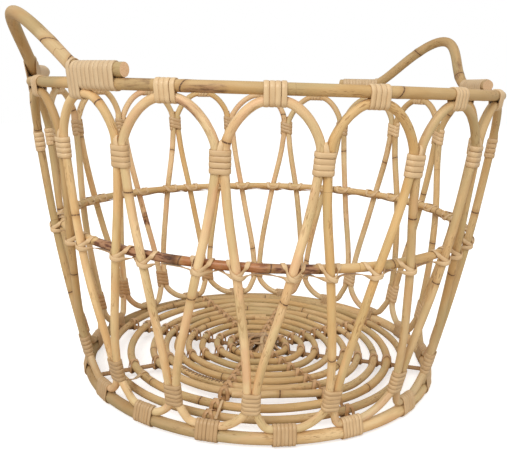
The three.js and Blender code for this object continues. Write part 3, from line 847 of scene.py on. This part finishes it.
def lashHoop():
    rng = random.Random(500)
    crossings = legCrossings()
    legOut = basket["midCane"] / 2 + wallCane / 2 + seat
    local = []
    for n, (angle, slope) in enumerate(crossings):
        gap = (crossings[(n + 1) % len(crossings)][0] - angle) % fullTurn
        straight = lash["mirroredTo"] <= degrees(angle) <= lash["mirroredFrom"]
        loose = rng.uniform(-lash["loose"], lash["loose"])
        for x, y, z in lash["route"] if straight else [(-x, y, z) for x, y, z in lash["route"][::-1]]:
            onLeg = clamped((y - lash["legFrom"]) / lash["legOver"])
            local.append((angle + (x + slope * z * onLeg) / 1000 / midRadius, x, y, z + loose, onLeg))
        x, y, z = lash["between"]
        local.append((angle + gap / 2, x, y, z + loose * 2, 0.0))
    points, facings = [], []
    for turn, x, y, z, onLeg in local:
        out = outAt(turn)
        points.append(onMid(midRadius + y / 1000, basket["midHeight"], turn) + up * z / 1000)
        fromHoop = (out * y + up * z).normalized()
        fromLeg = (up.cross(out) * x + out * (y / 1000 - legOut) * 1000).normalized()
        facings.append((fromHoop * (1 - onLeg) + fromLeg * onLeg).normalized())
    line = list(zip(smoothLine(points, 4, True), smoothLine(facings, 4, True)))
    store = newStore()
    addStrip(store, line, lash["width"], lash["thickness"], lash["tone"], 5, closed=True)
    return meshFrom("midLashing", store, paleTie)


finished(midCane, "mid_hoop", "mid_hoop")
finished(lashHoop(), "peel")
print("middle hoop lashed")

# Bottom: rings on split canes. The outer rings are thicker and paler. Angles in degrees
bottom = {
    "rings": 9, "cane": 0.0074, "inner": 0.036, "margin": 0.030,
    "spokes": 4, "spokeWidth": 0.007, "spokeThickness": 0.0034, "spokeHeight": 0.0028,
    "spokeStray": (1, 0, -5, -7, -7, -1.2, 0.5, 4),  # each arm
    # each ring: its tone, its thickness in mm, and how much further it reaches in front and on the left, in mm
    "gold": (0.6, 0.5, 0.6, 0.4, 0.5, 0.35, 0.3, 0.5, 0.4),
    "shade": (0.08, 0.07, 0.08, 0.06, 0.06, 0.05, 0.06, 0.05, 0.16),
    "thick": (7.6, 7.8, 8, 8, 8, 8.2, 8.2, 9, 8.4),
    "reachFront": (0, 2, 2, 2, 2, 2, 3, 1, 2.5), "reachLeft": (-2, -3, -2, -2.5, -6, -8, -11, -1, 4),
    "frontAt": -75, "leftAt": 175,
    "lapped": {3: (52.3, 5.5), 6: (-132.3, 4)}, "lap": 9.0,  # rings whose ends lie side by side: where, mm outwards
    "joints": {7: (-71.5, -167.6), 6: (-35.4,)},  # those seen on two of the rings
    "firstJoint": (0.04, 0.15), "nextJoint": (0.22, 0.45), "slant": (0.0, 0.0012), "waver": 0.0012,  # m
    "underKnot": (0.0015, 0.002),  # m, where the spokes lie flat on each other and where they part, from there
    "bowEdge": 4.2, "bowMiddle": 3.2, "bowSides": ((1.6, 148), (-1.2, -122)),  # mm, how the bottom bows up, and where
}
ringPitch = (baseRadius - bottom["margin"] - bottom["inner"]) / (bottom["rings"] - 1)
ringZ = bottom["spokeHeight"] + bottom["spokeThickness"] + seat + bottom["cane"] / 2
crossing = pi / bottom["spokes"]


# The bottom is bowed up a little, more so in the middle and on the left
def onBottom(radius, z, turn):
    share = radius / baseRadius
    radius += strayed("baseReach", turn) * share
    aside = sum(bow * cos(turn - radians(at)) for bow, at in bottom["bowSides"])
    rise = bottom["bowEdge"] + bottom["bowMiddle"] * (1 - share * share) + aside * share
    return outAt(turn, radius, z + rise / 1000)


def ringRadius(i, turn):
    left = eased(clamped(0.5 + 1.3 * cos(turn - radians(bottom["leftAt"]))))
    front = clamped(cos(turn - radians(bottom["frontAt"])))
    reach = bottom["reachFront"][i] * front * (1 - left) + bottom["reachLeft"][i] * left
    return bottom["inner"] + ringPitch * i + reach / 1000


def armTurn(k):
    return crossing * k + radians(bottom["spokeStray"][k])


def ringKnots(i, start, span, lap):
    knots = []
    count = 24 + 6 * i
    for k in range(count + 1):
        turn = start + span * k / count
        spot = outAt(turn, 2, i * 3.1)
        aside = lap * (1 - min(k / 3, 1)) - lap * 0.4 * max(1 - (count - k) / 3, 0)
        outward, upward = (bottom["waver"] * noise.noise(spot + up * shift) for shift in (0, 9))
        knots.append(onBottom(ringRadius(i, turn) + aside + outward, ringZ + upward, turn))
    return knots


ringDraw = random.Random(23)
for i in range(bottom["rings"]):
    start = ringDraw.uniform(0, 6.28)
    spots = [{"at": 0.0004, "slant": 0.0, "swell": 0.0}]  # where the two ends meet
    at = ringDraw.uniform(*bottom["firstJoint"])
    while at < fullTurn * (bottom["inner"] + ringPitch * i):
        spots.append({"at": at, "turn": ringDraw.uniform(0, 6.28), "slant": ringDraw.uniform(*bottom["slant"])})
        at += ringDraw.uniform(*bottom["nextJoint"])
    spots += [{"azimuth": turn, "slant": 0.001, "swell": 0.06} for turn in bottom["joints"].get(i, ())]
    lapped = i in bottom["lapped"]
    if lapped:
        start, aside = bottom["lapped"][i]
        knots = ringKnots(i, radians(start), fullTurn + radians(bottom["lap"]), aside / 1000)
        spots = spots[1:]
    else:
        knots = ringKnots(i, start, fullTurn, 0.0)[:-1]
    ring = bendCane(
        f"baseRing{i + 1}", knots, bottom["thick"][i] / 1000, (bottom["gold"][i], 0.0, bottom["shade"][i]), spots,
        closed=not lapped, steps=3, halfSides=7, waver=0.04, seed=40 + i)
    showPith(ring, dullPith)
    finished(ring, "ring", f"base_ring_{i + 1}")

# The end of one waist tie's peel, drawn in to the ring beside it and tucked under
strap = {
    "arch": 10, "ring": 8, "turn": -175.0, "low": 0.040, "aside": 0.006, "sag": 0.002, "clear": 0.0008,
    "width": 0.0066, "tone": (0.2, 0, 0.05),
}
shift = bent("waist", strap["arch"]) + strap["aside"]
foot = onWall(shift, strap["low"], 2 * halfPitch * strap["arch"])
turn = radians(strap["turn"])
over = laidAt(strap["ring"], turn)
inward = -outAt(turn)
away = bottom["thick"][strap["ring"] - 1] / 2000 + strap["clear"]
route = [foot, foot.lerp(over, 0.5) - up * strap["sag"], over - inward * away + up * 0.001]
route += [over + up * away, over + inward * away, over + inward * away * 0.4 - up * away]
line = [(p, (up - inward * 0.3 if p.z > over.z else inward).normalized()) for p in smoothLine(route, 4)]
store = newStore()
addStrip(store, line, strap["width"], peel["thickness"], strap["tone"], 77)
# and the end of a base tie's, laid over the two outer rings
overRings = {
    "from": -132.2, "start": 0.004, "to": ((9, -133.2), (8, -133.9)), "above": (0.0006, 0.0004),
    "width": 0.0028, "tone": (0.3, 0, 0.03),
}
high = bottomZ + wallCane / 2 + overRings["above"][0]
route = [onHoop(baseRadius - overRings["start"], high, radians(overRings["from"]))]
for ring, at in overRings["to"]:
    route.append(laidAt(ring, radians(at)) + up * (bottom["thick"][ring - 1] / 2000 + overRings["above"][1]))
line = [(p, up) for p in smoothLine(route, 4)]
addStrip(store, line, overRings["width"], peel["thickness"], overRings["tone"], 78)
finished(meshFrom("waistStrap", store, paleTie), "peel")

# A row of nicks across the sixth ring, where it was gripped for bending. Angles in degrees, the reach in radians
nicks = {
    "ring": 6, "from": -168.0, "to": -138.5, "every": 2.3, "reach": 1.3, "deep": 0.0001,
    "width": 0.0017, "thickness": 0.0005, "tone": (1, 0, 0.55), "outline": ((-1, 0), (-0.5, 1), (0.5, 1), (1, 0)),
}
store = newStore()
turn = nicks["from"]
deep = bottom["thick"][nicks["ring"] - 1] / 2000 - nicks["deep"]
nickDraw = random.Random(61)
while turn < nicks["to"]:
    for side in (-1, 1):
        line = []
        for share in (-0.5, -0.25, 0, 0.25, 0.5):
            tilt = side * 0.15 + nicks["reach"] * share * nickDraw.uniform(0.8, 1.0)
            at = radians(turn + 0.5 * side + 0.5 * cos(3 * share))
            face = outAt(at) * -sin(tilt) + up * cos(tilt)
            line.append((laidAt(nicks["ring"], at) + face * deep, face))
        addStrip(store, line, nicks["width"], nicks["thickness"], nicks["tone"], 3, outline=nicks["outline"])
    turn += nicks["every"] * nickDraw.uniform(0.85, 1.15)
finished(meshFrom("ringNicks", store, brownLash), "peel")

# Spokes, each lifted over the ones below it at the hub
spokeOutline = [(-1, 0), (-0.96, 0.35), (-0.7, 0.78), (-0.3, 0.97), (0.3, 0.97), (0.7, 0.78), (0.96, 0.35), (1, 0)]
hubFlat = bottom["spokeWidth"] / 2 * (1 + cos(crossing)) / sin(crossing) + bottom["underKnot"][0]
hubEnd = bottom["inner"] - bottom["cane"] / 2 - bottom["underKnot"][1]
spokeReach = baseRadius - basket["baseCane"] / 2 + seat
for i in range(bottom["spokes"]):
    lift = i * (bottom["spokeThickness"] + seat)
    line = []
    for share in (k / 30 - 1 for k in range(61)):
        turn = armTurn(i) if share > 0 else armTurn(i + bottom["spokes"])
        t = clamped((abs(share) * (spokeReach + strayed("baseReach", turn)) - hubFlat) / (hubEnd - hubFlat))
        z = bottom["spokeHeight"] + lift * 0.5 * (1 + cos(pi * t))
        line.append((onBottom(abs(share) * spokeReach, z, turn), up))
    store = newStore()
    addStrip(store, line, bottom["spokeWidth"], bottom["spokeThickness"], (0.3, 0, 0), i, outline=spokeOutline)
    finished(meshFrom(f"spoke{i + 1}", store, splitCane), "spoke", f"spoke_{i + 1}")

# Peel that binds each ring to each arm of the spokes, twice and crosswise: over the ring on a slant, under the spoke
ringLash = {"width": 0.0042, "thickness": 0.0009, "clear": 0.0004, "wide": 0.0008}


def lashRing(store, i, turn, seed):
    rng = random.Random(seed)
    r = bottom["thick"][i] / 2000 + ringLash["clear"]
    w = bottom["spokeWidth"] / 2 + ringLash["wide"]
    low = bottom["spokeHeight"] - ringLash["wide"] - ringZ
    climb = [(1, -1.1, low + 0.001), (1, -0.95, -r * 0.4), (0.6, -0.75, r * 0.75)]
    route = climb + [(0, 0, r + 0.0002)] + [(-x, -y, z) for x, y, z in climb[::-1]]
    route += [(-0.5, 0.7, low - 0.0003), (0.5, -0.7, low - 0.0003)]
    out = outAt(turn)
    ahead = up.cross(out)
    centre = laidAt(i + 1, turn)
    for side in (1, -1):
        line = []
        for p in smoothLine([Vector((side * w * x, r * y, z)) for x, y, z in route], 3, True):
            facing = Vector((p.x * 0.2, p.y, p.z)).normalized()
            facing = ahead * facing.x + out * facing.y + up * facing.z
            line.append((centre + ahead * p.x + out * p.y + up * p.z, facing))
        tone = (rng.uniform(0, 0.5), 0, rng.uniform(-0.05, 0.1))
        addStrip(store, line, ringLash["width"], ringLash["thickness"], tone, seed, closed=True)


store = newStore()
for i in range(bottom["rings"]):
    for k in range(2 * bottom["spokes"]):
        lashRing(store, i, armTurn(k), 700 + 10 * i + k)
finished(meshFrom("ringLashing", store, brownLash), "peel")

# The knotted hub: strips wound to and fro over the crossing spokes
hub = {
    "high": 0.0004, "edge": 0.0085, "reach": (0.024, 0.033), "aside": 0.015, "bend": 0.004, "middle": 0.0006,
    "width": 0.0042, "thickness": 0.0010,
}


def windHub(count, seed, gold, shade):
    rng = random.Random(seed)
    high = bottom["spokeHeight"] + bottom["spokes"] * (bottom["spokeThickness"] + seat) + hub["high"]
    store = newStore()
    for n in range(count):
        turn = pi * n / count + rng.uniform(-0.25, 0.25)
        aside = rng.uniform(-hub["aside"], hub["aside"])
        reach = rng.uniform(*hub["reach"]) * (1 - 0.35 * abs(aside) / hub["aside"])
        out = outAt(turn)
        line = []
        for k in range(13):
            x = reach * (k / 6 - 1)
            t = 1 - (x / reach) ** 2
            near = max(1 - (x * x + aside * aside) / hub["middle"], 0)
            z = hub["edge"] + (high + hub["thickness"] * (n % 4) - hub["edge"]) * min(t * 3, near + 0.25, 1)
            z += (bottom["bowEdge"] + bottom["bowMiddle"]) / 1000
            bent = aside * (0.5 + 0.5 * t) + hub["bend"] * sin(3 * x / reach + n)
            line.append((out * x + up.cross(out) * bent + up * z, (up + out * (0.7 * x / reach)).normalized()))
        addStrip(store, line, hub["width"], hub["thickness"], (rng.uniform(*gold), 0, rng.uniform(*shade)), seed + n)
    return store


# the brown strips are darkened at random, up to most of their colour: partly their own browner tone, partly painted
# shade of the dark gaps in the knot
knot = meshFrom("hubKnotBrown", windHub(16, 820, (0.2, 1.0), (0.05, 0.85)), brownLash)
knot = joinTo(knot, meshFrom("hubKnotPale", windHub(9, 840, (0.1, 1.0), (0.0, 0.15)), paleTie))
knot.name = "hubKnot"
finished(knot, "peel")
print("bottom laid")

# Handles. What each one strays by, in mm: rise, lean, fullness (a share), span, shift along the rim, slew of its top
handle = {
    "cane": 0.012, "rise": 0.0495, "lean": 0.023, "fullness": 0.8, "leanCurve": 1.4, "bite": 0.006,
    "overhang": 0.002, "further": (0, 3.0),  # of their cut ends, the second in mm and at one end alone
    "stray": ((6.5, 2.7, 0.05, 1.1, 2.8, -1.5), (0.6, -6.0, -0.22, 6.5, -4.9, -1.9)),
    # degrees, slant, side of their joints, and degrees where brown skin is left on the first and the second is rosy
    "joints": (((7.1, 0.002, 1.0), (-14, 0.001, 3.0)), ((192.6, 0.006, 0.5), (197.9, 0.004, 3.5))),
    "worn": ((-16, -9), (190.5, 199)),
    # of the binding: turns that hold the arch too, how it climbs at the back, half its strip, how the arch curves
    "archTurns": 3, "swing": 0.6, "halfStrip": 0.0021, "archLevel": 0.004, "archBend": 0.075,
}
handleFootZ = rimHeight + basket["rimCane"] / 2 + handle["cane"] / 2 + seat
bindingStart = 2 * halfPitch * rimRadius - turns["rim"] * peel["pitch"] / 2
bindingEnd = bindingStart + turns["handle"] * peel["handlePitch"] + 2 * handle["halfStrip"]
handleSpan = bindingStart + handle["bite"]
handleReach = bindingEnd + handle["overhang"]


def handlePoint(n, along):
    rise, lean, fuller, span, shift, slew = handle["stray"][n]
    t = clamped(abs(along - shift / 1000) / (handleSpan + span / 1000))
    bell = (0.5 * (1 + cos(pi * t))) ** (handle["fullness"] + fuller)
    turn = along / rimRadius + pi * n + slew / 1000 / rimRadius * bell
    foot = onHoop(rimRadius, rimHeight, turn)
    radius = hypot(foot.x, foot.y) + (handle["lean"] + lean / 1000) * bell ** handle["leanCurve"]
    z = handleFootZ - rimHeight + foot.z + (handle["rise"] + rise / 1000) * bell
    return outAt(turn, radius, z)


def handleTone(n):
    start, end = handle["worn"][n]

    def toneAt(centre, along):
        turn = degrees(turnOf(centre))
        turn += 360 * n * (turn < 0)
        inside = within(turn, start, end, 1.5)
        return (0.4 - 0.9 * n * inside, 0.3 * (1 - n) * inside, 0.26 - 0.15 * n * inside)

    return toneAt


for n in (0, 1):
    further = handle["further"][n] / 1000
    knots = [handlePoint(n, (handleReach + further / 2) * (k / 15 - 1) + further / 2) for k in range(31)]
    spots = [{"azimuth": turn, "slant": slant, "turn": side} for turn, slant, side in handle["joints"][n]]
    tone = handleTone(n)
    grip = bendCane(f"handle{n + 1}", knots, handle["cane"], tone, spots, steps=4, halfSides=10, seed=62 + 5 * n)
    # the second handle's cut ends get the paler pith, which is painted light; the others get the plain pith
    showPith(grip, paintedLightPith if n else dullPith)
    finished(grip, "handle", f"handle_{n + 1}")


# One strip: three turns round handle, rim and arch, then eight round handle and rim
def bindHandle(number, n, side, seed):
    line = []
    perTurn = 2 * (peel["arcSteps"] + 2)
    for i in range(turns["handle"] * perTurn + 1):
        k, step = divmod(i, perTurn)
        swing = handle["swing"] * sin(fullTurn * step / perTurn) / fullTurn
        along = bindingStart + handle["halfStrip"] + peel["handlePitch"] * (k + step / perTurn + swing)
        top = handlePoint(n, side * along)
        turn = side * along / rimRadius + pi * n
        rim = onHoop(rimRadius, rimHeight, turn)
        lift = rim.z - rimHeight
        low, thick = rimHeight, basket["rimCane"]
        if k < handle["archTurns"]:
            fromLevel = max(abs(along - 2 * halfPitch * rimRadius) - handle["archLevel"], 0)
            low, thick = topZ - fromLevel ** 2 / handle["archBend"], wallCane
        x, y, nx, ny = beltTurn(top.z - lift, handle["cane"] / 2, low, thick / 2)[step]
        reach = hypot(rim.x, rim.y)
        share = clamped((y - rimHeight) / (top.z - lift - rimHeight))
        radius = reach + (hypot(top.x, top.y) - reach) * share + x
        line.append((outAt(turn, radius, y + lift), outAt(turn, nx, ny)))
    store = newStore()
    tone = (random.Random(seed).uniform(0, 0.3), 0, 0)
    addStrip(store, line, peel["handleWidth"], peel["thickness"], tone, seed)
    finished(meshFrom(f"handleBinding{number}", store, duskyTie), "binding", f"handle_binding_{number}")


for n in (0, 1):
    bindHandle(2 * n + 1, n, 1, 900 + n)
    bindHandle(2 * n + 2, n, -1, 910 + n)
print("handles bound")

# Camera where the photograph was taken from
view = {
    "place": (-0.3915, -0.6443, 0.3414), "down": 0.2471, "left": 0.0292, "roll": 0.0209, "about": -31.865,
    "focalPixels": 647.90, "imageWidth": 507, "imageHeight": 455, "middleX": 247.9, "middleY": 240.3, "film": 36,
}
bpy.ops.object.camera_add()
camera = bpy.context.object
turned = Matrix.Rotation(radians(view["about"]) + view["left"], 4, "Z") @ Matrix.Rotation(pi / 2 - view["down"], 4, "X")
camera.matrix_world = Matrix.Translation(view["place"]) @ turned @ Matrix.Rotation(view["roll"], 4, "Z")
camera.data.sensor_width = view["film"]
camera.data.lens = view["film"] * view["focalPixels"] / view["imageWidth"]
camera.data.shift_x = (view["imageWidth"] / 2 - view["middleX"]) / view["imageWidth"]
camera.data.shift_y = (view["middleY"] - view["imageHeight"] / 2) / view["imageWidth"]
camera.data.clip_end = 20
bpy.context.scene.camera = camera

# Plain soft studio light and a pale floor under a white room
studio = {
    "lamps": {  # place, size, power
        "keyLamp": ((-1.5, -1.3, 1.9), 1.4, 33.0), "fillLamp": ((0.9, -1.9, 1.0), 1.6, 3.0),
    },
    "aim": (0, 0, 0.18), "world": 0.62, "paper": "FBFAF8", "bounce": "D2CABE", "glow": 0.55,
}
for name, (place, size, power) in studio["lamps"].items():
    bpy.ops.object.light_add(type="AREA", location=place)
    lamp = bpy.context.object
    lamp.name = name
    lamp.data.shape = "DISK"
    lamp.data.size = size
    lamp.data.energy = power
    lamp.rotation_mode = "QUATERNION"
    lamp.rotation_quaternion = (Vector(studio["aim"]) - Vector(place)).to_track_quat("-Z", "Y")

room = bpy.data.worlds.new("whiteRoom")
bpy.context.scene.world = room
room.use_nodes = True
room.node_tree.nodes.clear()
white = [1.0, 1.0, 1.0, 1.0]
soft = addNode(room, "Background", {"Color": white, "Strength": studio["world"]})[0]
seen = addNode(room, "Background", {"Color": white, "Strength": 1.0})[0]
ray = addNode(room, "LightPath", {})["Is Camera Ray"]
addNode(room, "OutputWorld", {0: addNode(room, "MixShader", {0: ray, 1: soft, 2: seen})[0]})

floorPaper = newMaterial("palePaperFloor")
paper = addNode(floorPaper, "BsdfDiffuse", {"Color": colour(studio["paper"])})[0]
glow = addNode(floorPaper, "Emission", {"Color": white, "Strength": studio["glow"]})[0]
bounce = addNode(floorPaper, "BsdfDiffuse", {"Color": colour(studio["bounce"])})[0]
ray = addNode(floorPaper, "LightPath", {})["Is Camera Ray"]
lit = addNode(floorPaper, "AddShader", {0: paper, 1: glow})[0]
addNode(floorPaper, "OutputMaterial", {0: addNode(floorPaper, "MixShader", {0: ray, 1: bounce, 2: lit})[0]})
putAway()
bpy.ops.mesh.primitive_plane_add(size=8, location=(0, 0, -0.0002))
ground = bpy.context.object
ground.name = "floorSheet"
ground.data.materials.append(floorPaper)
bpy.context.scene.view_settings.view_transform = "Standard"
